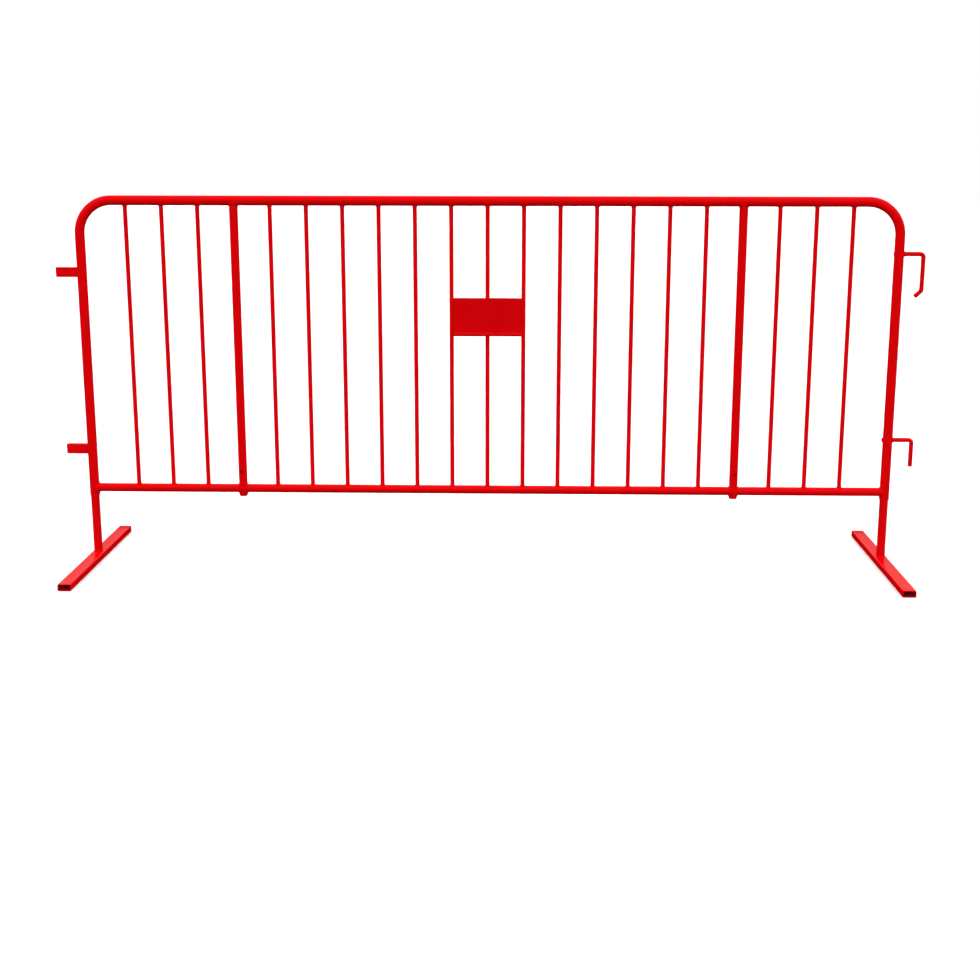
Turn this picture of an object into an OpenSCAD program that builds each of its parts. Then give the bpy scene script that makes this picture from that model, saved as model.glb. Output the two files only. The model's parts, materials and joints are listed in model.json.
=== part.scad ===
// Interlocking crowd control barrier, welded from powder-coated steel tube.
// X runs along the barrier, with the hooks at +X and the loops at -X. The front faces -Y. Z = 0 is
// the ground, and the origin lies on it under the middle of the barrier and of its feet.

/* [Panel] */
// Width of the bent frame over its two end posts
frame_width = 2438.4; // [2100:0.1:2700]
// Height of the barrier from the ground to the top of the frame
frame_height = 1103; // [1000:1:1300]
// Radius of the two bent top corners, along the tube's centreline
corner_radius = 97; // [50:1:110]
// Height of the lower rail's centreline
rail_height = 224; // [200:1:240]
// How far the posts and braces reach below the lower rail's centreline
post_tail = 24; // [18:1:40]

/* [Tubes] */
// Outer diameter of the bent frame tube
frame_od = 28.575; // [28:0.005:31]
// Radial running clearance between a leg and the post that it slides in
leg_clearance = 0.0875; // [0.02:0.0005:0.1]
// Outer diameter of the lower rail, the braces and the legs
rail_od = 25.4; // [22:0.1:25.4]
// Wall thickness of the lower rail, the braces and the legs
rail_wall = 1.5; // [1:0.1:2.5]
// Outer diameter of the pickets
picket_od = 12.7; // [10:0.1:16]
// Wall thickness of the pickets
picket_wall = 1.2; // [0.8:0.1:2]
// Gap left at each welded joint before the weld fills it
root_gap = 0.1; // [0.05:0.05:0.5]

/* [Columns] */
// Number of columns on each side of the middle picket, with the brace counted
columns_each_side = 10; // [8:1:12]
// Which of those columns is the heavier brace, counted from the middle
brace_column = 7; // [3:1:7]
// Distance from the last picket's centreline to the end post's centreline
end_gap = 138; // [100:1:180]
// Diameter of the vent hole drilled in the front of each brace
vent_d = 8; // [4:0.5:10]
// Height of the vent holes
vent_height = 277; // [260:1:330]
// How far round the tube each brace's vent hole is turned from the front: left brace, right brace
vent_turn = [-5, 10]; // [-40:1:40]

/* [Sign plate] */
// Height of the sign plate's lower edge above the ground
plate_bottom = 694; // [500:1:800]
// Height of the sign plate
plate_height = 113; // [60:1:180]
// Thickness of the sign plate's sheet
plate_thickness = 2; // [1.5:0.1:3]
// How far each side of the plate laps across its picket
plate_lap = 1.6; // [0:0.1:3]
// Radius of the plate's two upper corners
plate_corner = 4; // [1:0.5:15]
// Outer diameter of the safety hem rolled forwards along the plate's lower edge
hem_d = 11; // [8:0.5:16]

/* [Hooks and loops] */
// How far the hooks and the loops reach beyond the frame
reach = 63.5; // [55:0.5:80]
// Diameter of the hook rod
rod_d = 12.7; // [10:0.1:14]
// Radius of the hooks' upper bends, along the rod's centreline
hook_bend = 10; // [10:0.5:20]
// How far the upper hook's rod comes out on the inner side of its post
upper_rod_stub = 0.5; // [0:0.5:8]
// How far the lower hook's rod comes out on the inner side of its post
lower_rod_stub = 3.5; // [0:0.5:8]
// Height of the upper hook's horizontal arm
upper_hook_height = 939; // [880:1:950]
// Drop of the upper hook from its arm to the start of its curled tip
upper_hook_drop = 96; // [60:1:140]
// Radius of the upper hook's curled tip, along the rod's centreline
curl_bend = 28; // [12:1:32]
// Angle of the upper hook's curled tip
curl_angle = 72; // [20:1:80]
// Height of the lower hook's horizontal arm
lower_hook_height = 385; // [380:1:450]
// Drop of the lower hook from its arm to its end
lower_hook_drop = 81; // [60:1:120]
// Height of the loops' flat bar
loop_bar_height = 28; // [15:0.1:40]
// Thickness of the loops' flat bar
loop_bar = 3.2; // [2:0.1:4]
// Width of each loop over its two arms
loop_width = 22.2; // [20:0.1:26]
// Height of the middle of the upper loop
upper_loop_height = 879; // [820:1:900]
// Height of the middle of the lower loop
lower_loop_height = 345; // [320:1:400]

/* [Legs and feet] */
// Length of each leg that stands inside its post
leg_insertion = 145; // [100:1:150]
// Thickness of the stop disc inside each post
stop_thickness = 6; // [3:1:12]
// Length of each flat foot
foot_length = 680; // [500:1:800]
// Width of the feet
foot_width = 38.1; // [35:0.1:60]
// Height of the feet
foot_height = 20; // [15:0.5:30]
// Wall thickness of the feet
foot_wall = 2; // [1.5:0.1:3]
// Outer radius of the feet's rounded long edges
foot_edge = 3; // [2.5:0.1:5]
// How far each leg stands behind the middle of its foot
foot_setback = 20; // [0:1:40]

/* [Hidden] */
$fn = 64;
powder_red = [0.82, 0.01, 0.03];
over = 1;                                       // how far a cutting shape runs past what it cuts

post_x = (frame_width - frame_od) / 2;          // centreline of an end post
post_face = frame_width / 2;                    // outer face of an end post
top_z = frame_height - frame_od / 2;            // centreline of the top rail
tail_z = rail_height - post_tail;               // cut lower ends of the posts and braces
corner_x = post_x - corner_radius;              // centre of a bent corner, from the middle
frame_id = rail_od + 2 * leg_clearance;
column_pitch = (post_x - end_gap) / columns_each_side;
brace_x = brace_column * column_pitch;
hook_x = post_face + reach - rod_d / 2;         // centreline of the hooks' upright rods
leg_top = tail_z + leg_insertion;
plate_back = -picket_od / 2 - root_gap;         // from the panel's plane to the plate's back
plate_width = 2 * column_pitch - picket_od + 2 * plate_lap;

picket_columns = [for (c = [-columns_each_side : columns_each_side]) if (abs(c) != brace_column) c];
picket_names = [for (i = [1 : len(picket_columns)]) str("picket_", i < 10 ? "0" : "", i)];
welded_names = [
    "frame_tube", "left_lower_rail", "middle_lower_rail", "right_lower_rail", "left_brace", "right_brace",
    "sign_plate", "upper_hook", "lower_hook", "upper_loop", "lower_loop", "left_leg_stop", "right_leg_stop"
];
leg_names = ["left_leg", "right_leg", "left_foot", "right_foot"];

// Puts a shape that is drawn about the panel's plane where that plane stands, above the legs.
module in_panel() {
    color(powder_red) translate([0, foot_setback, 0]) children();
}

// A round bar along X, from x1 to x2.
module bar_x(x1, x2, r, z = 0) {
    translate([x1, 0, z]) rotate([0, 90, 0]) cylinder(r = r, h = x2 - x1);
}

// A round bar along Z, from z1 to z2.
module bar_z(z1, z2, r, x = 0) {
    translate([x, 0, z1]) cylinder(r = r, h = z2 - z1);
}

// The cross-section of the bent frame tube.
module frame_section() {
    difference() {
        circle(d = frame_od);
        circle(d = frame_id);
    }
}

// A round bend in the XZ plane, whose cross-section is given, starting on +X of its centre.
module bend(bend_radius, angle) {
    rotate([90, 0, 0]) rotate_extrude(angle = angle) translate([bend_radius, 0]) children();
}

// A straight end post of the frame, from the plane where its bend starts, measured down from the top rail.
module post(x) {
    length = top_z - corner_radius - tail_z;
    translate([x, 0, -corner_radius]) mirror([0, 0, 1]) linear_extrude(length) frame_section();
}

// The bent frame: one tube bent to an inverted U, with holes for the hook rods in one post. It is drawn
// about the top rail's centreline.
module frame_tube() {
    in_panel() translate([0, 0, top_z]) {
        for (side = [0, 1]) mirror([side, 0, 0]) {
            translate([corner_x, 0, 0]) rotate([0, -90, 0]) linear_extrude(corner_x) frame_section();
            translate([corner_x, 0, -corner_radius]) bend(corner_radius, 90) frame_section();
        }
        post(-post_x);
        difference() {
            post(post_x);
            for (z = [upper_hook_height, lower_hook_height])
                bar_x(post_x - frame_od, post_x + frame_od, rod_d / 2 + root_gap, z - top_z);
        }
    }
}

// One length of the lower rail, coped at both ends to the upright that it meets there.
module lower_rail(x1, r1, x2, r2) {
    in_panel() difference() {
        bar_x(x1, x2, rail_od / 2, rail_height);
        bar_x(x1 - over, x2 + over, rail_od / 2 - rail_wall, rail_height);
        bar_z(tail_z, rail_height + rail_od, r1 + root_gap, x1);
        bar_z(tail_z, rail_height + rail_od, r2 + root_gap, x2);
    }
}

// The top rail's outer surface, grown by the root gap: it copes the tops of the uprights.
module top_cope() {
    bar_x(-post_x, post_x, frame_od / 2 + root_gap, top_z);
}

// A brace: a heavier upright that runs past the lower rail, with a vent hole in its front.
module brace(x, turn) {
    in_panel() difference() {
        bar_z(tail_z, top_z, rail_od / 2, x);
        bar_z(tail_z - over, top_z + over, rail_od / 2 - rail_wall, x);
        top_cope();
        translate([x, 0, vent_height]) rotate([90, 0, turn]) cylinder(d = vent_d, h = rail_od);
    }
}

// A picket, coped to the rails above and below it.
module picket(column) {
    x = column * column_pitch;
    in_panel() difference() {
        bar_z(rail_height, top_z, picket_od / 2, x);
        bar_z(rail_height - over, top_z + over, picket_od / 2 - picket_wall, x);
        top_cope();
        bar_x(x - picket_od, x + picket_od, rail_od / 2 + root_gap, rail_height);
    }
}

// The plate's outline from the front: square at the bottom, with rounded upper corners.
module plate_outline() {
    corner_x = plate_width / 2 - plate_corner;
    bottom = plate_bottom + hem_d / 2;
    top = plate_bottom + plate_height;
    translate([-plate_width / 2, bottom]) square([plate_width, top - plate_corner - bottom]);
    translate([-corner_x, bottom]) square([2 * corner_x, top - bottom]);
    for (x = [-corner_x, corner_x]) translate([x, top - plate_corner]) circle(r = plate_corner);
}

module sign_plate() {
    hem_y = plate_back - hem_d / 2;
    hem_z = plate_bottom + hem_d / 2;
    in_panel() {
        translate([0, plate_back, 0]) rotate([90, 0, 0]) linear_extrude(plate_thickness) plate_outline();
        translate([0, hem_y, 0]) difference() {
            bar_x(-plate_width / 2, plate_width / 2, hem_d / 2, hem_z);
            bar_x(-plate_width / 2 - over, plate_width / 2 + over, hem_d / 2 - plate_thickness, hem_z);
        }
    }
}

// The part that both hooks share: an arm through the post, a bend, and an upright rod.
module hook_arm(z, drop, stub) {
    bend_x = hook_x - hook_bend;
    arm_length = bend_x - post_x + frame_od / 2 + stub;
    translate([bend_x, 0, z]) rotate([0, -90, 0]) cylinder(d = rod_d, h = arm_length);
    translate([bend_x, 0, z - hook_bend]) bend(hook_bend, 90) circle(d = rod_d);
    bar_z(z - drop, z - hook_bend, rod_d / 2, hook_x);
}

module upper_hook() {
    in_panel() {
        hook_arm(upper_hook_height, upper_hook_drop, upper_rod_stub);
        translate([hook_x - curl_bend, 0, upper_hook_height - upper_hook_drop])
            mirror([0, 0, 1]) bend(curl_bend, curl_angle) circle(d = rod_d);
    }
}

module lower_hook() {
    in_panel() hook_arm(lower_hook_height, lower_hook_drop, lower_rod_stub);
}

// A loop: a flat bar bent to a U, with its two arms coped to the left-hand post.
module loop(z) {
    bend_x = post_face + reach - loop_width / 2;
    in_panel() mirror([1, 0, 0]) translate([0, 0, z - loop_bar_height / 2]) difference() {
        loop_plan(bend_x, loop_width / 2, loop_bar_height);
        translate([0, 0, -over])
            loop_plan(bend_x, loop_width / 2 - loop_bar, loop_bar_height + 2 * over);
        translate([post_x, 0, -over])
            cylinder(r = frame_od / 2 + root_gap, h = loop_bar_height + 2 * over);
    }
}

// A round-ended block from the post's centreline out to a half circle of radius r.
module loop_plan(bend_x, r, height) {
    translate([post_x, -r, 0]) cube([bend_x - post_x, 2 * r, height]);
    translate([bend_x, 0, 0]) cylinder(r = r, h = height);
}

// The disc welded inside a post that the top of its leg comes up against, with a drain hole.
module leg_stop(side) {
    in_panel() difference() {
        bar_z(leg_top, leg_top + stop_thickness, frame_id / 2 - root_gap, side * post_x);
        bar_z(leg_top - over, leg_top + stop_thickness + over, frame_id / 6, side * post_x);
    }
}

module leg(side) {
    in_panel() difference() {
        bar_z(foot_height, leg_top, rail_od / 2, side * post_x);
        bar_z(foot_height - over, leg_top + over, rail_od / 2 - rail_wall, side * post_x);
    }
}

// A rectangle with rounded corners, standing on the X axis and centred on the Y axis.
module rounded_rect(width, height, r) {
    translate([-width / 2, r]) square([width, height - 2 * r]);
    translate([r - width / 2, 0]) square([width - 2 * r, height]);
    for (x = [r - width / 2, width / 2 - r], y = [r, height - r]) translate([x, y]) circle(r = r);
}

// A flat foot: an open-ended rectangular tube that crosses under the barrier.
module foot(side) {
    color(powder_red) translate([side * post_x, foot_length / 2, 0]) rotate([90, 0, 0]) difference() {
        linear_extrude(foot_length) rounded_rect(foot_width, foot_height, foot_edge);
        translate([0, foot_wall, -over]) linear_extrude(foot_length + 2 * over)
            rounded_rect(foot_width - 2 * foot_wall, foot_height - 2 * foot_wall, foot_edge - foot_wall);
    }
}

frame_tube();
lower_rail(-post_x, frame_od / 2, -brace_x, rail_od / 2);  // left_lower_rail
lower_rail(-brace_x, rail_od / 2, brace_x, rail_od / 2);  // middle_lower_rail
lower_rail(brace_x, rail_od / 2, post_x, frame_od / 2);  // right_lower_rail
brace(-brace_x, vent_turn[0]);  // left_brace
brace(brace_x, vent_turn[1]);  // right_brace
sign_plate();
upper_hook();
lower_hook();
loop(upper_loop_height);  // upper_loop
loop(lower_loop_height);  // lower_loop
leg_stop(-1);  // left_leg_stop
leg_stop(1);  // right_leg_stop
for (i = [0 : len(picket_columns) - 1])
    picket(picket_columns[i]);
leg(-1);  // left_leg
leg(1);  // right_leg
foot(-1);  // left_foot
foot(1);  // right_foot
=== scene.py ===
"""The looks of a red interlocking crowd control barrier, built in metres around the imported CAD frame."""
import json
import math

import bmesh
import bpy
from mathutils import Matrix, Vector, noise


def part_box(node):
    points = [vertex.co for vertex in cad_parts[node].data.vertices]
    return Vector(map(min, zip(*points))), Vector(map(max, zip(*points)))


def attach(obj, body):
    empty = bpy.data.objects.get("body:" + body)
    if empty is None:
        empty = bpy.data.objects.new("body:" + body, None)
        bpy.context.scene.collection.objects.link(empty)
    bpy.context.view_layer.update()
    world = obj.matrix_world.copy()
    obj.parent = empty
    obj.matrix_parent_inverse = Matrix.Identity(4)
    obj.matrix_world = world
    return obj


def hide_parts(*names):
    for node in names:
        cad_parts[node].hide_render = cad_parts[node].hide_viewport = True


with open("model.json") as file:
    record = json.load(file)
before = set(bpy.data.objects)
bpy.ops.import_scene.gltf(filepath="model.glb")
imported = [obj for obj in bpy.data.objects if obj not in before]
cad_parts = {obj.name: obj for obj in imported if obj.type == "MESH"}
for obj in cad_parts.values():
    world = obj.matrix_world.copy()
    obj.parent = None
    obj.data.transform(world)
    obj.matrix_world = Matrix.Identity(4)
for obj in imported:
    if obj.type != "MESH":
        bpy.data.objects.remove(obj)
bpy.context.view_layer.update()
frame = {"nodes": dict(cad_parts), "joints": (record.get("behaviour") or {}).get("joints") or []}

MM = 0.001
X = Vector((1, 0, 0))
Y = Vector((0, 1, 0))
Z = Vector((0, 0, 1))

# Tubes and bars, by radius unless they say otherwise
FRAME_R = 14.2875 * MM          # the bent frame tube, outside
FRAME_BORE = 12.7875 * MM       # and inside, where a leg slides
RAIL_R = 12.7 * MM              # lower rail, braces and legs
RAIL_WALL = 1.5 * MM
PICKET_R = 6.35 * MM
PICKET_WALL = 1.2 * MM
SWAGE = 5 * MM                  # how far the braces' lower ends are rounded in
ROD_R = 6.35 * MM               # hook rod
ROD_END = 2.2 * MM              # rounding of the hook rods' ends
CORNER_BEND = 97 * MM           # bends are measured along the centreline
HOOK_BEND = 10 * MM
CURL_BEND = 13 * MM             # the upper hook's tip: a short bend, then a straight end
CURL_ANGLE = math.radians(49)
CURL_END = 19.5 * MM
BAR = 3.2 * MM                  # thickness of the loops' flat bar
BAR_EDGE = 0.8 * MM             # rounding of its long edges
SHEET = 2 * MM                  # thickness of the sign plate
SHEET_EDGE = 0.45 * MM          # rounding of its cut edges
HEM_R = 5.5 * MM                # outside of the hem rolled along the plate's lower edge
HEM_ROLL = math.radians(318)    # how far round the hem is rolled
PLATE_CORNER = 4 * MM
LEG_GAP = 0.1 * MM              # left between a leg's top and its stop disc
FOOT_WALL = 2 * MM
FOOT_EDGE = 3 * MM              # rounding of the feet's long edges
FOOT_END = 0.25 * MM            # and of their cut ends
VENT_R = 4 * MM
VENT_HEIGHT = 277 * MM
VENT_TURN = {"left_brace": math.radians(-5), "right_brace": math.radians(10)}   # from straight ahead

# Weld beads, as half of their width and how high they rise
PICKET_BEAD = (2.3 * MM, 1.5 * MM)
BRACE_BEAD = (2.9 * MM, 2.0 * MM)
POST_BEAD = (3.4 * MM, 2.3 * MM)
HOOK_INNER_BEAD = (1.9 * MM, 0.9 * MM)
HOOK_OUTER_BEAD = (2.6 * MM, 1.8 * MM)
LOOP_BEAD = (2.4 * MM, 1.6 * MM)
TACK_BEAD = (1.9 * MM, 1.3 * MM)
FOOT_BEAD = (3.2 * MM, 2.1 * MM)
BEAD_LIFT = 0.35 * MM           # a bead's middle above the corner that it fills
BEAD_TAPER = 3 * MM             # length over which an open bead's ends thin out
RIPPLE = 2.2 * MM               # from one ripple of the weld pool to the next
TACK = 16 * MM                  # length of a bead that holds the sign plate
TACK_OFFSET = 0.6 * MM          # its line stands this far off the plate's edge
TACK_PLACES = (0.30, 0.80)      # how far up each side of the plate one is, as parts of its height
LOOP_BEAD_LEAN = 0.4            # how far the loops' beads lean to the left, away from the post
TACK_LEAN = 0.8                 # how far the plate's beads lean to the front

# How finely the pieces are cut into faces
ROUND = 56                      # faces round a large tube
ROUND_SMALL = 40                # and round a picket or a rod
RING_GAP = 60 * MM              # longest stretch of tube without a ring
COPE_CLEAR = 1.2 * FRAME_R      # stretch beside a coped end that has no ring
BEND_STEP = math.radians(3)     # turn from one ring to the next in a bend
CUT_EDGE = 0.5 * MM             # rounding that the coating gives to a cut end
EDGE_STEPS = 4                  # steps down that rounding
CORNER_STEPS = 6                # steps round a corner of a rectangle
PLATE_CORNER_STEPS = 8          # rows of faces beside the plate's upper corners
PLATE_ROWS = 8                  # down the rest of its flat part
HEM_STEPS = 48                  # and round its hem
PLATE_COLUMNS = 24
BEAD_ROUND = 10                 # faces round a weld bead
SADDLE_SMALL = 56               # points along a weld round a picket or a rod
SADDLE_LARGE = 90               # and round a large tube
LOOP_BEAD_STEPS = 24
TACK_STEPS = 14
SHARP = math.radians(50)        # faces that meet at more than this keep a hard edge between them

# Everything stands about the panel's plane and the two posts' centrelines
SWIVEL = {joint["name"]: joint for joint in frame["joints"]}["right_foot_swivel"]["pos_m"]
POST_X = SWIVEL[0]
PANEL_Y = SWIVEL[1]
TOP_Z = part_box("frame_tube")[1].z - FRAME_R
TAIL_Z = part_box("frame_tube")[0].z
RAIL_Z = (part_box("middle_lower_rail")[0].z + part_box("middle_lower_rail")[1].z) / 2
FOOT_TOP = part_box("left_foot")[1].z
PICKETS = sorted(name for name in frame["nodes"] if name.startswith("picket"))
BRACES = ("left_brace", "right_brace")
SIDES = (("left", -POST_X), ("right", POST_X))


def middle_x(node):
    """Where an upright's centreline stands along the barrier."""
    low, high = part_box(node)
    return (low.x + high.x) / 2


# ---------------------------------------------------------------- outlines and routes

def circle(radius, count):
    """The outline of a round bar or tube: a function of how far it is shrunk."""
    turns = [2 * math.pi * i / count for i in range(count)]
    return lambda shrink: [((radius - shrink) * math.cos(a), (radius - shrink) * math.sin(a)) for a in turns]


def rounded_rectangle(width, height, corner):
    """The outline of a rectangle with round corners: a function of how far it is shrunk."""
    def outline(shrink):
        smallest = 0.1 * MM
        radius = max(corner - shrink, smallest)
        half_u = width / 2 - shrink - radius
        half_v = height / 2 - shrink - radius
        points = []
        for quarter, (way_u, way_v) in enumerate(((1, 1), (-1, 1), (-1, -1), (1, -1))):
            for i in range(CORNER_STEPS + 1):
                a = (quarter + i / CORNER_STEPS) * math.pi / 2
                points.append((way_u * half_u + radius * math.cos(a), way_v * half_v + radius * math.sin(a)))
        return points
    return outline


class Route:
    """A centreline of straight runs and round bends about one axis, walked by its length."""

    def __init__(self, start, heading, axis):
        self.axis = axis
        self.legs = []
        self.stops = [0.0]
        self.end = start.copy()
        self.heading = heading.copy()

    def _add(self, length, radius, angle):
        self.legs.append((self.stops[-1], length, self.end.copy(), self.heading.copy(), radius, angle))
        self.stops.append(self.stops[-1] + length)
        self.end, self.heading = self.at(self.stops[-1])
        return self

    def run(self, length):
        return self._add(length, 0.0, 0.0)

    def bend(self, radius, angle):
        return self._add(radius * abs(angle), radius, angle)

    def at(self, s):
        """The point and the heading at length s."""
        start, length, point, heading, radius, angle = next(
            (leg for leg in self.legs if s <= leg[0] + leg[1]), self.legs[-1])
        if not angle:
            return point + heading * (s - start), heading
        turn = Matrix.Rotation(angle * (s - start) / length, 3, self.axis)
        inward = self.axis.cross(heading) * math.copysign(1, angle)
        centre = point + inward * radius
        return centre + turn @ (-inward * radius), turn @ heading

    def stations(self):
        """Lengths at which a ring is wanted: the joints of the runs and bends, and steps between them."""
        found = [0.0]
        for start, length, _, _, _, angle in self.legs:
            count = math.ceil(abs(angle) / BEND_STEP) if angle else math.ceil(length / RING_GAP)
            found += [start + length * (i + 1) / count for i in range(count)]
        return found

    def ring(self, s, outline):
        """The outline's points at length s. Its first axis is the route's, and the second points across."""
        point, heading = self.at(s)
        across = heading.cross(self.axis)
        return [point + u * self.axis + v * across for u, v in outline]


def straight(start, end, axis):
    """The route from one point to another."""
    return Route(start, (end - start).normalized(), axis).run((end - start).length)


# ---------------------------------------------------------------- meshes

def skin(bm, rings, loop=False):
    """Faces between neighbouring rings. A loop joins the last ring to the first, or else both are capped."""
    made = [[bm.verts.new(point) for point in ring] for ring in rings]
    pairs = list(zip(made, made[1:] + made[:1])) if loop else list(zip(made, made[1:]))
    for first, second in pairs:
        for i in range(len(first)):
            j = (i + 1) % len(first)
            bm.faces.new((first[i], first[j], second[j], second[i]))
    if not loop:
        bm.faces.new(made[0])
        bm.faces.new(made[-1])


def end_round(edge):
    """(distance from the end, how far the outline is shrunk) down a rounded cut edge."""
    turns = [math.pi / 2 * i / EDGE_STEPS for i in range(EDGE_STEPS + 1)]
    return [(edge * (1 - math.cos(a)), edge * (1 - math.sin(a))) for a in turns]


def bar(bm, route, outline, edge=CUT_EDGE):
    """A solid bar along a route, with rounded ends."""
    length = route.stops[-1]
    section = end_round(edge)
    section += [(s, 0.0) for s in route.stations() if edge < s < length - edge]
    section += [(length - s, shrink) for s, shrink in reversed(end_round(edge))]
    skin(bm, [route.ring(s, outline(shrink)) for s, shrink in section])


def tube(bm, route, outline, wall, edge=CUT_EDGE):
    """An open tube along a route, with rounded cut ends. Faces of its bore take the second material, whose
    darker red is painted shade.
    """
    length = route.stops[-1]
    middle = [s for s in route.stations() if edge < s < length - edge]
    outside = end_round(edge) + [(s, 0.0) for s in middle]
    outside += [(length - s, shrink) for s, shrink in reversed(end_round(edge))]
    inside = [(length - s, wall - shrink) for s, shrink in end_round(edge)]
    inside += [(s, wall) for s in reversed(middle)]
    inside += [(s, wall - shrink) for s, shrink in reversed(end_round(edge))]
    before = len(bm.faces)
    skin(bm, [route.ring(s, outline(shrink)) for s, shrink in outside + inside], loop=True)
    bm.faces.ensure_lookup_table()
    around = len(outline(0))
    for face in bm.faces[before + len(outside) * around:]:
        face.material_index = 1


def coped_tube(bm, start, end, outline, wall, start_cope, end_cope):
    """A straight tube in the panel, whose ends fit round the tubes that cross there. A cope is such a tube's
    radius, and a start_cope of None makes a swaged start that meets no tube."""
    along = (end - start).normalized()
    route = straight(start, end, Y)
    length = route.stops[-1]

    def cut(ring, point, cope, way):
        shaped = []
        for p in ring:
            off = (p - point).dot(Y)
            shaped.append(p + way * along * math.sqrt(max(cope * cope - off * off, 0.0)))
        return shaped

    middle = [s for s in route.stations() if COPE_CLEAR < s < length - COPE_CLEAR]
    rings = []
    for depth in (0.0, wall):
        if start_cope is None:
            side = [route.ring(s, outline(depth + shrink)) for s, shrink in end_round(SWAGE)]
        else:
            side = [cut(route.ring(0, outline(depth)), start, start_cope, 1)]
        side += [route.ring(s, outline(depth)) for s in middle]
        side.append(cut(route.ring(length, outline(depth)), end, end_cope, -1))
        rings += side if depth == 0.0 else side[::-1]
    skin(bm, rings, loop=True)


def bead(bm, line, closed, size, seed):
    """A weld bead along a line of (point, outward direction), with the ripples of its pool. Its seed sets how
    it is uneven."""
    half_width, rise = size
    ripple_depth, unevenness, lumps_per_metre, thinnest = 0.07, 0.10, 90, 0.02
    count = len(line)
    rings = []
    walked = 0.0
    total = sum((line[i + 1][0] - line[i][0]).length for i in range(count - 1))
    for i, (point, outward) in enumerate(line):
        before = line[i - 1][0] if i or closed else point
        after = line[(i + 1) % count][0] if i + 1 < count or closed else point
        along = (after - before).normalized()
        face = outward.cross(along).normalized()
        walked += (point - line[i - 1][0]).length if i else 0.0
        ripple = 1 + ripple_depth * abs(math.sin(math.pi * walked / RIPPLE))
        uneven = 1 + unevenness * noise.noise(point * lumps_per_metre + Vector((seed, 0, 0)))
        taper = 1.0
        if not closed:
            from_end = min(walked, max(total - walked, 0.0)) / BEAD_TAPER
            taper = math.sqrt(max(1 - (1 - min(from_end, 1.0)) ** 2, thinnest))
        half = half_width * uneven * taper
        high = rise * ripple * uneven * taper
        middle = point + outward * BEAD_LIFT
        turns = [2 * math.pi * k / BEAD_ROUND for k in range(BEAD_ROUND)]
        rings.append([middle + half * math.cos(a) * face + high * math.sin(a) * outward for a in turns])
    skin(bm, rings, loop=closed)


def saddle(centre, along, across, small, large, count=SADDLE_SMALL):
    """The line on which a round tube, which leaves centre in the direction along, meets the tube that it
    crosses. That one's axis runs through centre in the direction across."""
    side = along.cross(across)
    line = []
    for i in range(count):
        a = 2 * math.pi * i / count
        out = math.cos(a) * across + math.sin(a) * side
        off = small * math.sin(a)
        rise = math.sqrt(max(large * large - off * off, 0.0))
        normal = (along * rise + side * off) / large
        line.append((centre + small * out + rise * along, (out + normal).normalized()))
    return line


def piece(name, bm, material, body="frame", nodes=(), bore=None):
    """Turns a mesh into a piece that rides on a body and stands for CAD nodes."""
    bmesh.ops.recalc_face_normals(bm, faces=bm.faces)
    mesh = bpy.data.meshes.new(name)
    bm.to_mesh(mesh)
    bm.free()
    mesh.shade_smooth()
    mesh.set_sharp_from_angle(angle=SHARP)
    mesh.materials.append(material)
    if bore:
        mesh.materials.append(bore)
    made = bpy.data.objects.new(name, mesh)
    bpy.context.scene.collection.objects.link(made)
    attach(made, body)
    if nodes:
        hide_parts(*nodes)
    return made


# ---------------------------------------------------------------- materials

def wire(tree, source, output, target, socket):
    """Links one node's output to another's input, both by name."""
    tree.links.new(source.outputs[output], target.inputs[socket])


def node(tree, kind, **values):
    """A shader node. Names of sockets are given with _ for a space, and anything else is a property."""
    made = tree.nodes.new(kind)
    for key, value in values.items():
        label = key.replace("_", " ")
        if label in made.inputs:
            made.inputs[label].default_value = value
        else:
            setattr(made, key, value)
    return made


def ramp(tree, low, high, low_colour, high_colour):
    """A colour ramp from one colour to another."""
    made = tree.nodes.new("ShaderNodeValToRGB")
    made.color_ramp.elements[0].position = low
    made.color_ramp.elements[0].color = low_colour
    made.color_ramp.elements[1].position = high
    made.color_ramp.elements[1].color = high_colour
    return made


def powder_coat(name, colours, roughness=(0.17, 0.22), peel=0.25, streaks=0.0):
    """Gloss powder coat: a slightly uneven red with orange peel. Streaks are how strongly rub marks show."""
    material = bpy.data.materials.new(name)
    material.use_nodes = True
    tree = material.node_tree
    shader = tree.nodes["Principled BSDF"]
    shader.inputs["IOR"].default_value = 1.5
    shader.inputs["Coat Weight"].default_value = 0.15
    shader.inputs["Coat Roughness"].default_value = 0.12
    place = node(tree, "ShaderNodeTexCoord")

    tone = node(tree, "ShaderNodeTexNoise", Scale=9.0, Detail=4.0, Roughness=0.6)
    wire(tree, place, "Object", tone, "Vector")
    colour = ramp(tree, 0.35, 0.68, *colours)
    wire(tree, tone, "Fac", colour, "Fac")

    haze = node(tree, "ShaderNodeTexNoise", Scale=38.0, Detail=5.0, Roughness=0.65)
    wire(tree, place, "Object", haze, "Vector")
    dull = node(tree, "ShaderNodeMapRange", To_Min=roughness[0], To_Max=roughness[1])
    dull.inputs["From Min"].default_value = 0.3
    dull.inputs["From Max"].default_value = 0.7
    wire(tree, haze, "Fac", dull, "Value")

    skin_noise = node(tree, "ShaderNodeTexNoise", Scale=420.0, Detail=2.0, Roughness=0.45)
    wire(tree, place, "Object", skin_noise, "Vector")
    peeled = node(tree, "ShaderNodeBump", Strength=peel, Distance=0.05 * MM)
    wire(tree, skin_noise, "Fac", peeled, "Height")
    wire(tree, peeled, "Normal", shader, "Normal")

    if streaks:
        add_rub_marks(tree, place, colour, dull, shader, streaks)
    else:
        wire(tree, colour, "Color", shader, "Base Color")
        wire(tree, dull, "Result", shader, "Roughness")
    return material


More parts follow.
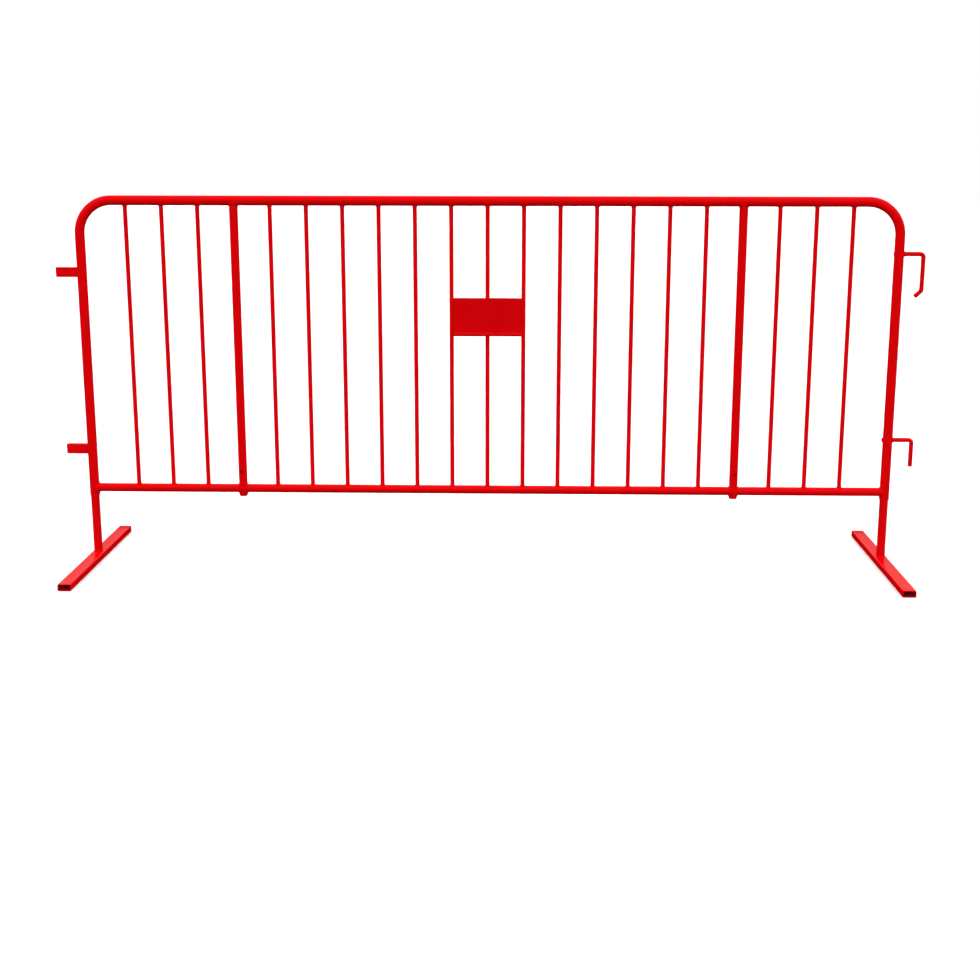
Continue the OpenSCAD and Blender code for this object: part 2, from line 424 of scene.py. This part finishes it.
def add_rub_marks(tree, place, colour, dull, shader, streaks):
    """Worn, duller streaks that run up and down over the coat's own colour and roughness."""
    stretch = node(tree, "ShaderNodeMapping", Scale=(900.0, 900.0, 14.0))
    wire(tree, place, "Object", stretch, "Vector")
    marks = node(tree, "ShaderNodeTexNoise", Scale=1.0, Detail=3.0)
    wire(tree, stretch, "Vector", marks, "Vector")
    rubbed = ramp(tree, 0.55, 0.80, (0, 0, 0, 1), (streaks, streaks, streaks, 1))
    wire(tree, marks, "Fac", rubbed, "Fac")
    worn = node(tree, "ShaderNodeMix", data_type="RGBA")
    worn.inputs["B"].default_value = WORN_RED
    wire(tree, rubbed, "Color", worn, "Factor")
    wire(tree, colour, "Color", worn, "A")
    wire(tree, worn, "Result", shader, "Base Color")
    scuffed = node(tree, "ShaderNodeMath", operation="MULTIPLY_ADD")
    scuffed.inputs[1].default_value = 0.25      # how much rougher a full rub mark is
    tree.links.new(rubbed.outputs["Color"], scuffed.inputs[0])
    tree.links.new(dull.outputs["Result"], scuffed.inputs[2])
    wire(tree, scuffed, "Value", shader, "Roughness")


# Each coat is mottled between two reds
REDS = ((0.725, 0.0012, 0.0028, 1), (0.775, 0.0016, 0.0036, 1))
SHEET_REDS = ((0.665, 0.0012, 0.0030, 1), (0.705, 0.0016, 0.0038, 1))
# The feet's two reds are lighter than the frame's: painted light, standing in for the brighter light on the
# feet's tops and sides
FOOT_REDS_PAINTED_LIGHTER = ((0.80, 0.0012, 0.0028, 1), (0.85, 0.0016, 0.0036, 1))
# The bores' two reds are darker than the outside's: painted shade inside the tubes. Their coat is also
# rougher
BORE_REDS_PAINTED_SHADE = ((0.50, 0.002, 0.004, 1), (0.60, 0.003, 0.006, 1))
WORN_RED = (0.45, 0.012, 0.014, 1)
COAT = powder_coat("powder_coat", REDS)
SHEET_COAT = powder_coat("powder_coat_on_sheet", SHEET_REDS)
FOOT_COAT_PAINTED_LIGHTER = powder_coat("powder_coat_on_foot", FOOT_REDS_PAINTED_LIGHTER)
WELD_COAT = powder_coat("powder_coat_on_weld", REDS, roughness=(0.20, 0.26), peel=0.5)
RUBBED_COAT = powder_coat("powder_coat_rubbed", REDS, streaks=0.5)
BORE_COAT_PAINTED_SHADE = powder_coat("powder_coat_in_bore", BORE_REDS_PAINTED_SHADE, roughness=(0.45, 0.65), peel=0.5)


# ---------------------------------------------------------------- the welded panel

def build_frame_tube():
    """One tube bent to an inverted U, open at the bottom of both posts."""
    post = TOP_Z - CORNER_BEND - TAIL_Z
    route = Route(Vector((-POST_X, PANEL_Y, TAIL_Z)), Z, Y)
    route.run(post).bend(CORNER_BEND, math.pi / 2)
    route.run(2 * (POST_X - CORNER_BEND)).bend(CORNER_BEND, math.pi / 2).run(post)
    bm = bmesh.new()
    tube(bm, route, circle(FRAME_R, ROUND), FRAME_R - FRAME_BORE)
    piece("bent_frame_tube", bm, COAT, nodes=["frame_tube"], bore=BORE_COAT_PAINTED_SHADE)


def build_lower_rail():
    """Three lengths of rail, coped to the posts and to the braces between them."""
    stops = [(-POST_X, FRAME_R)] + [(middle_x(name), RAIL_R) for name in BRACES] + [(POST_X, FRAME_R)]
    for name, (x1, cope1), (x2, cope2) in zip(("left", "middle", "right"), stops, stops[1:]):
        bm = bmesh.new()
        start = Vector((x1, PANEL_Y, RAIL_Z))
        end = Vector((x2, PANEL_Y, RAIL_Z))
        coped_tube(bm, start, end, circle(RAIL_R, ROUND), RAIL_WALL, cope1, cope2)
        piece(f"{name}_rail_tube", bm, COAT, nodes=[f"{name}_lower_rail"])


def build_pickets():
    """The thin uprights, coped to the top rail and the lower rail."""
    for name in PICKETS:
        bm = bmesh.new()
        x = middle_x(name)
        start = Vector((x, PANEL_Y, RAIL_Z))
        end = Vector((x, PANEL_Y, TOP_Z))
        coped_tube(bm, start, end, circle(PICKET_R, ROUND_SMALL), PICKET_WALL, RAIL_R, FRAME_R)
        piece(f"{name}_tube", bm, COAT, nodes=[name])


def build_braces():
    """The two heavier uprights, each with a vent hole near its lower end."""
    for name in BRACES:
        bm = bmesh.new()
        x = middle_x(name)
        start = Vector((x, PANEL_Y, TAIL_Z))
        end = Vector((x, PANEL_Y, TOP_Z))
        coped_tube(bm, start, end, circle(RAIL_R, ROUND), RAIL_WALL, None, FRAME_R)
        made = piece(f"{name}_tube", bm, COAT, nodes=[name])
        drill = bmesh.new()
        front = Matrix.Rotation(VENT_TURN[name], 3, Z) @ -Y
        at = Vector((x, PANEL_Y, VENT_HEIGHT))
        almost_sharp = 0.01 * MM
        bar(drill, straight(at, at + 2 * RAIL_R * front, Z), circle(VENT_R, ROUND_SMALL), almost_sharp)
        bmesh.ops.recalc_face_normals(drill, faces=drill.faces)
        cut_away(made, drill)


def cut_away(made, drill):
    """Cuts the drill's shape out of a piece."""
    mesh = bpy.data.meshes.new("drill")
    drill.to_mesh(mesh)
    drill.free()
    cutter = bpy.data.objects.new("drill", mesh)
    bpy.context.scene.collection.objects.link(cutter)
    hole = made.modifiers.new("hole", "BOOLEAN")
    hole.operation = "DIFFERENCE"
    hole.object = cutter
    bpy.context.view_layer.update()
    depsgraph = bpy.context.evaluated_depsgraph_get()
    result = bpy.data.meshes.new_from_object(made.evaluated_get(depsgraph))
    made.modifiers.remove(hole)
    made.data = result
    result.shade_smooth()
    result.set_sharp_from_angle(angle=SHARP)
    bpy.data.objects.remove(cutter)


def build_sign_plate():
    """A blank plate, with its upper corners rounded and its lower edge rolled forwards into a safety hem."""
    low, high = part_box("sign_plate")
    back = high.y
    centre = Vector((0, back - HEM_R, low.z + HEM_R))
    middle = HEM_R - SHEET / 2
    flat = high.z - PLATE_CORNER - centre.z

    profile = []            # down the sheet's middle: (y, z, how far each side is drawn in)
    for i in range(PLATE_CORNER_STEPS + 1):
        a = math.pi / 2 * i / PLATE_CORNER_STEPS
        drop = PLATE_CORNER * (1 - math.cos(a))
        side = PLATE_CORNER * (1 - math.sin(a))
        profile.append((back - SHEET / 2, high.z - drop, side))
    for i in range(1, PLATE_ROWS + 1):
        profile.append((back - SHEET / 2, centre.z + flat * (1 - i / PLATE_ROWS), 0.0))
    for i in range(1, HEM_STEPS + 1):
        a = HEM_ROLL * i / HEM_STEPS
        profile.append((centre.y + middle * math.cos(a), centre.z - middle * math.sin(a), 0.0))

    bm = bmesh.new()
    half = (high.x - low.x) / 2
    across = [2 * i / PLATE_COLUMNS - 1 for i in range(PLATE_COLUMNS + 1)]
    rows = [[bm.verts.new(((half - side) * part, y, z)) for part in across] for y, z, side in profile]
    for upper, lower in zip(rows, rows[1:]):
        for i in range(PLATE_COLUMNS):
            bm.faces.new((upper[i], upper[i + 1], lower[i + 1], lower[i]))
    made = piece("sign_plate_sheet", bm, SHEET_COAT, nodes=["sign_plate"])
    thick = made.modifiers.new("thickness", "SOLIDIFY")
    thick.thickness = SHEET
    thick.offset = 0
    thick.use_even_offset = True
    soften = made.modifiers.new("edges", "BEVEL")
    soften.width = SHEET_EDGE
    soften.segments = 3
    soften.limit_method = "ANGLE"
    soften.angle_limit = SHARP


def hook_route(node_name, drop_end):
    """The rod of a hook, from its stub inside the panel to its upright's lower end."""
    low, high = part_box(node_name)
    arm_z = high.z - ROD_R
    route = Route(Vector((low.x, PANEL_Y, arm_z)), X, Y)
    route.run(high.x - ROD_R - HOOK_BEND - low.x).bend(HOOK_BEND, math.pi / 2)
    return route.run(arm_z - HOOK_BEND - drop_end)


def build_hooks():
    """The lower hook's rod ends plain, and the upper one's has a bent tip that points back inwards."""
    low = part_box("lower_hook")[0]
    bm = bmesh.new()
    bar(bm, hook_route("lower_hook", low.z), circle(ROD_R, ROUND_SMALL), ROD_END)
    piece("lower_hook_rod", bm, RUBBED_COAT, nodes=["lower_hook"])
    tip_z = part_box("upper_hook")[0].z
    curl_drop = (CURL_BEND + ROD_R) * math.sin(CURL_ANGLE) + CURL_END * math.cos(CURL_ANGLE)
    route = hook_route("upper_hook", tip_z + curl_drop)
    route.bend(CURL_BEND, CURL_ANGLE).run(CURL_END)
    bm = bmesh.new()
    bar(bm, route, circle(ROD_R, ROUND_SMALL), ROD_END)
    piece("upper_hook_rod", bm, RUBBED_COAT, nodes=["upper_hook"])


def build_loops():
    """Flat bars bent to a U, their arms coped to the left-hand post."""
    for name in ("upper_loop", "lower_loop"):
        low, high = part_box(name)
        middle = (low + high) / 2
        half = (high.y - low.y) / 2 - BAR / 2
        bend_x = low.x + half + BAR / 2
        arm = -bend_x - POST_X
        start = Vector((-POST_X, PANEL_Y + half, middle.z))
        route = Route(start, -X, Z).run(arm).bend(half, math.pi).run(arm)
        outline = rounded_rectangle(high.z - low.z, BAR, BAR_EDGE)
        rings = [route.ring(s, outline(0)) for s in route.stations()]
        for ring in (rings[0], rings[-1]):
            for point in ring:
                off = point.y - PANEL_Y
                point.x = -POST_X - math.sqrt(FRAME_R ** 2 - off ** 2)
        bm = bmesh.new()
        skin(bm, rings)
        piece(f"{name}_bar", bm, RUBBED_COAT, nodes=[name])


# ---------------------------------------------------------------- legs and feet

def build_leg(side, x):
    """A tube that stands in its post and on its foot."""
    low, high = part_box(f"{side}_leg")
    bm = bmesh.new()
    route = straight(Vector((x, PANEL_Y, low.z)), Vector((x, PANEL_Y, high.z - LEG_GAP)), Y)
    tube(bm, route, circle(RAIL_R, ROUND), RAIL_WALL)
    piece(f"{side}_leg_tube", bm, RUBBED_COAT, f"{side}_leg", [f"{side}_leg"], bore=BORE_COAT_PAINTED_SHADE)


def build_foot(side, x):
    """A flat rectangular tube, open at both ends."""
    low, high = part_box(f"{side}_foot")
    bm = bmesh.new()
    outline = rounded_rectangle(high.x - low.x, high.z - low.z, FOOT_EDGE)
    middle_z = (low.z + high.z) / 2
    route = Route(Vector((x, low.y, middle_z)), Y, X).run(high.y - low.y)
    tube(bm, route, outline, FOOT_WALL, FOOT_END)
    # The feet take the lighter coat: painted light on their tops and sides
    piece(f"{side}_foot_tube", bm, FOOT_COAT_PAINTED_LIGHTER, f"{side}_foot", [f"{side}_foot"], bore=BORE_COAT_PAINTED_SHADE)


def build_leg_stop(side, x):
    """A disc with a hole in its middle, inside the post above the leg."""
    low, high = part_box(f"{side}_leg_stop")
    bm = bmesh.new()
    outer = (high.x - low.x) / 2
    route = straight(Vector((x, PANEL_Y, low.z)), Vector((x, PANEL_Y, high.z)), Y)
    tube(bm, route, circle(outer, ROUND), outer * 2 / 3)
    piece(f"{side}_leg_stop_disc", bm, COAT, nodes=[f"{side}_leg_stop"], bore=BORE_COAT_PAINTED_SHADE)


def build_legs_and_feet():
    for side, x in SIDES:
        build_leg(side, x)
        build_foot(side, x)
        build_leg_stop(side, x)


# ---------------------------------------------------------------- welds

def weld_top_rail():
    """Beads where the pickets and the braces meet the top rail."""
    bm = bmesh.new()
    for i, name in enumerate(PICKETS):
        line = saddle(Vector((middle_x(name), PANEL_Y, TOP_Z)), -Z, X, PICKET_R, FRAME_R)
        bead(bm, line, True, PICKET_BEAD, seed=i)
    for i, name in enumerate(BRACES):
        line = saddle(Vector((middle_x(name), PANEL_Y, TOP_Z)), -Z, X, RAIL_R, FRAME_R, SADDLE_LARGE)
        bead(bm, line, True, BRACE_BEAD, seed=30 + i)
    piece("top_rail_welds", bm, WELD_COAT)


def weld_lower_rail():
    """Beads where the pickets stand on the lower rail, and where its lengths meet braces and posts."""
    bm = bmesh.new()
    for i, name in enumerate(PICKETS):
        line = saddle(Vector((middle_x(name), PANEL_Y, RAIL_Z)), Z, X, PICKET_R, RAIL_R)
        bead(bm, line, True, PICKET_BEAD, seed=40 + i)
    piece("lower_rail_picket_welds", bm, WELD_COAT)

    bm = bmesh.new()
    for i, name in enumerate(BRACES):
        for way in (-1, 1):
            centre = Vector((middle_x(name), PANEL_Y, RAIL_Z))
            line = saddle(centre, way * X, Z, RAIL_R, RAIL_R, SADDLE_LARGE)
            bead(bm, line, True, BRACE_BEAD, seed=70 + i)
    for way in (-1, 1):
        centre = Vector((way * POST_X, PANEL_Y, RAIL_Z))
        line = saddle(centre, -way * X, Z, RAIL_R, FRAME_R, SADDLE_LARGE)
        bead(bm, line, True, POST_BEAD, seed=80 + way)
    piece("lower_rail_end_welds", bm, WELD_COAT)


def weld_hooks():
    """A bead round each hook's rod on both sides of the post that it goes through."""
    bm = bmesh.new()
    for i, name in enumerate(("upper_hook", "lower_hook")):
        arm_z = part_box(name)[1].z - ROD_R
        for way, size in ((-1, HOOK_INNER_BEAD), (1, HOOK_OUTER_BEAD)):
            line = saddle(Vector((POST_X, PANEL_Y, arm_z)), way * X, Z, ROD_R, FRAME_R)
            bead(bm, line, True, size, seed=90 + i)
    piece("hook_welds", bm, WELD_COAT)


def weld_loops():
    """An upright bead on the outer side of each arm of the loops."""
    bm = bmesh.new()
    for i, name in enumerate(("upper_loop", "lower_loop")):
        low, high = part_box(name)
        half = (high.y - low.y) / 2
        x = -POST_X - math.sqrt(FRAME_R ** 2 - half ** 2)
        heights = [low.z + (high.z - low.z) * k / LOOP_BEAD_STEPS for k in range(LOOP_BEAD_STEPS + 1)]
        for way in (-1, 1):
            outward = (way * Y - LOOP_BEAD_LEAN * X).normalized()
            line = [(Vector((x, PANEL_Y + way * half, z)), outward) for z in heights]
            bead(bm, line, False, LOOP_BEAD, seed=100 + i)
    piece("loop_welds", bm, WELD_COAT)


def weld_sign_plate():
    """Two short beads on each side of the plate."""
    low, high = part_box("sign_plate")
    bm = bmesh.new()
    for way, edge in ((-1, low.x), (1, high.x)):
        outward = (way * X - TACK_LEAN * Y).normalized()
        for i, part in enumerate(TACK_PLACES):
            z = low.z + part * (high.z - low.z)
            heights = [z + TACK * (k / TACK_STEPS - 0.5) for k in range(TACK_STEPS + 1)]
            line = [(Vector((edge + way * TACK_OFFSET, high.y + TACK_OFFSET, h)), outward) for h in heights]
            bead(bm, line, False, TACK_BEAD, seed=110 + i)
    piece("sign_plate_welds", bm, WELD_COAT)


def weld_feet():
    """A bead round the base of each leg."""
    for side, x in SIDES:
        bm = bmesh.new()
        line = []
        for i in range(SADDLE_LARGE):
            a = 2 * math.pi * i / SADDLE_LARGE
            out = math.cos(a) * X + math.sin(a) * Y
            line.append((Vector((x, PANEL_Y, FOOT_TOP)) + RAIL_R * out, (out + Z).normalized()))
        bead(bm, line, True, FOOT_BEAD, seed=120)
        piece(f"{side}_foot_weld", bm, WELD_COAT, f"{side}_foot")


# ---------------------------------------------------------------- the stage

def build_floor():
    """A pale floor that takes a faint shadow, and doesn't light or shade the barrier or show in its gloss."""
    mesh = bpy.data.meshes.new("floor")
    half = 30.0
    corners = [(-half, -half, 0), (half, -half, 0), (half, half, 0), (-half, half, 0)]
    mesh.from_pydata(corners, [], [(0, 1, 2, 3)])
    floor = bpy.data.objects.new("floor", mesh)
    bpy.context.scene.collection.objects.link(floor)
    material = bpy.data.materials.new("pale_floor")
    material.use_nodes = True
    shader = material.node_tree.nodes["Principled BSDF"]
    shader.inputs["Base Color"].default_value = (0.93, 0.93, 0.93, 1)
    shader.inputs["Roughness"].default_value = 0.9
    shader.inputs["Specular IOR Level"].default_value = 0.0
    mesh.materials.append(material)
    floor.visible_diffuse = False
    floor.visible_glossy = False
    floor.visible_shadow = False


def grow(tree, source, start, end, low, high):
    """A smooth change from low to high as a value goes from start to end."""
    made = node(tree, "ShaderNodeMapRange", interpolation_type="SMOOTHSTEP")
    for label, value in (("From Min", start), ("From Max", end), ("To Min", low), ("To Max", high)):
        made.inputs[label].default_value = value
    tree.links.new(source, made.inputs["Value"])
    return made.outputs["Result"]


def build_sky():
    """A white surround for the camera, and a dim one for gloss, which is dark below and brighter behind the
    barrier. Nothing else sees it, because the suns give all the light."""
    world = bpy.data.worlds.new("studio")
    bpy.context.scene.world = world
    world.use_nodes = True
    world.cycles.sampling_method = "NONE"
    tree = world.node_tree
    tree.nodes.clear()
    place = node(tree, "ShaderNodeTexCoord")
    split = node(tree, "ShaderNodeSeparateXYZ")
    wire(tree, place, "Generated", split, "Vector")
    dark = node(tree, "ShaderNodeBackground", Color=(1, 1, 1, 1), Strength=0.0)
    gloss = node(tree, "ShaderNodeBackground", Color=(1, 1, 1, 1))
    upwards = grow(tree, split.outputs["Z"], 0.04, 0.36, 0.0, 1.0)
    backwards = grow(tree, split.outputs["Y"], 0.25, 0.95, 0.07, 0.38)
    level = node(tree, "ShaderNodeMath", operation="MULTIPLY")
    tree.links.new(upwards, level.inputs[0])
    tree.links.new(backwards, level.inputs[1])
    wire(tree, level, "Value", gloss, "Strength")
    white = node(tree, "ShaderNodeBackground", Color=(1, 1, 1, 1), Strength=1.0)
    rays = node(tree, "ShaderNodeLightPath")
    lit = node(tree, "ShaderNodeMixShader")
    tree.links.new(rays.outputs["Is Glossy Ray"], lit.inputs[0])
    tree.links.new(dark.outputs[0], lit.inputs[1])
    tree.links.new(gloss.outputs[0], lit.inputs[2])
    seen = node(tree, "ShaderNodeMixShader")
    tree.links.new(rays.outputs["Is Camera Ray"], seen.inputs[0])
    tree.links.new(lit.outputs[0], seen.inputs[1])
    tree.links.new(white.outputs[0], seen.inputs[2])
    output = node(tree, "ShaderNodeOutputWorld")
    tree.links.new(seen.outputs[0], output.inputs["Surface"])


def wide_sun(name, source, strength):
    """A sun as wide as half of the sky, for soft light from one side, which gloss doesn't mirror."""
    data = bpy.data.lights.new(name, "SUN")
    data.angle = math.pi
    data.energy = strength
    data.cycles.use_multiple_importance_sampling = False
    light = bpy.data.objects.new(name, data)
    light.rotation_mode = "QUATERNION"
    light.rotation_quaternion = Vector(source).to_track_quat("Z", "Y")
    light.visible_glossy = False
    bpy.context.scene.collection.objects.link(light)


def build_camera():
    """A camera in front of the barrier, a little to the right of its middle and above its top."""
    data = bpy.data.cameras.new("camera")
    data.lens = 54.79
    camera = bpy.data.objects.new("camera", data)
    camera.location = (0.1038, -4.4142, 1.2460)
    down, left, roll = 0.2268, 0.0219, 0.0013       # radians turned from straight ahead
    camera.rotation_euler = (math.pi / 2 - down, -roll, left)
    bpy.context.scene.collection.objects.link(camera)
    bpy.context.scene.camera = camera


build_frame_tube()
build_lower_rail()
build_pickets()
build_braces()
build_sign_plate()
build_hooks()
build_loops()
build_legs_and_feet()
weld_top_rail()
weld_lower_rail()
weld_hooks()
weld_loops()
weld_sign_plate()
weld_feet()
build_floor()
build_sky()
wide_sun("above", (0, 0, 1), 4.0)
wide_sun("front", (0, -1, 0.4), 0.60)
wide_sun("behind", (0, 1, 0), 0.35)
wide_sun("left", (-1, 0, 0), 0.28)
wide_sun("right", (1, 0, 0), 0.20)
build_camera()
bpy.context.scene.view_settings.view_transform = "Standard"
